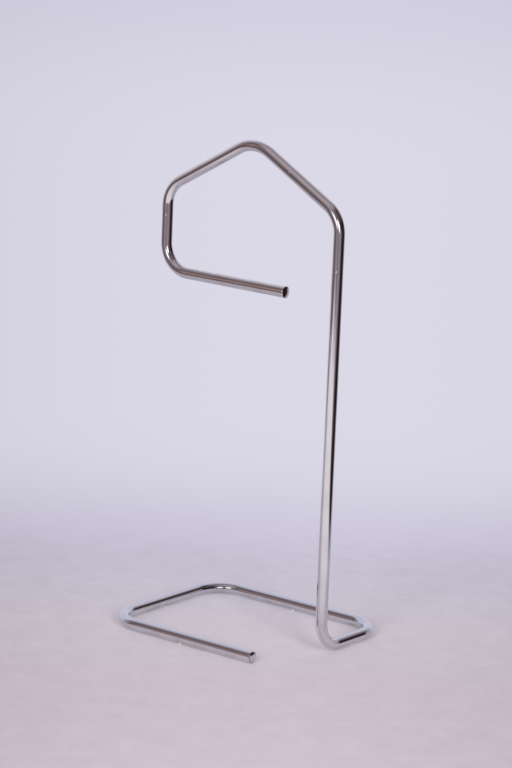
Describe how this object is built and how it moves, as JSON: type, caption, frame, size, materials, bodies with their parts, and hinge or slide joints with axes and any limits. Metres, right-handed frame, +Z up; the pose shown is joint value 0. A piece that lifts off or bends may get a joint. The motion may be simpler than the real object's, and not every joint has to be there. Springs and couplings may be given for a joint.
{
  "type": "valet stand",
  "caption": "Free-standing valet stand bent from one chrome tube: open rectangular base, single post, five-sided jacket hanger and a level trouser arm.",
  "frame": {"origin": "on the floor, under the middle of the rectangular base", "axes": "+Z up; +X along the hanger, from its free side to the post; +Y from the front of the stand, where the base has its free end, to the back"},
  "size_m": [0.48, 0.39, 1.0642],
  "materials": {
    "chrome_tube": "bright chrome plate on bent steel tube",
    "chrome_cap": "bright chrome plate on small turned plugs",
    "glide_plastic": "pale natural nylon, slightly scuffed"
  },
  "bodies": {
    "root": {"frame_tube": "chrome_tube", "base_end_cap": "chrome_cap", "arm_end_cap": "chrome_cap", "floor_glide_front": "glide_plastic", "floor_glide_left": "glide_plastic", "floor_glide_back": "glide_plastic", "floor_glide_right": "glide_plastic", "vent_plug_post": "chrome_cap", "vent_plug_slope": "chrome_cap", "vent_plug_drop": "chrome_cap"}
  },
  "joints": []
}
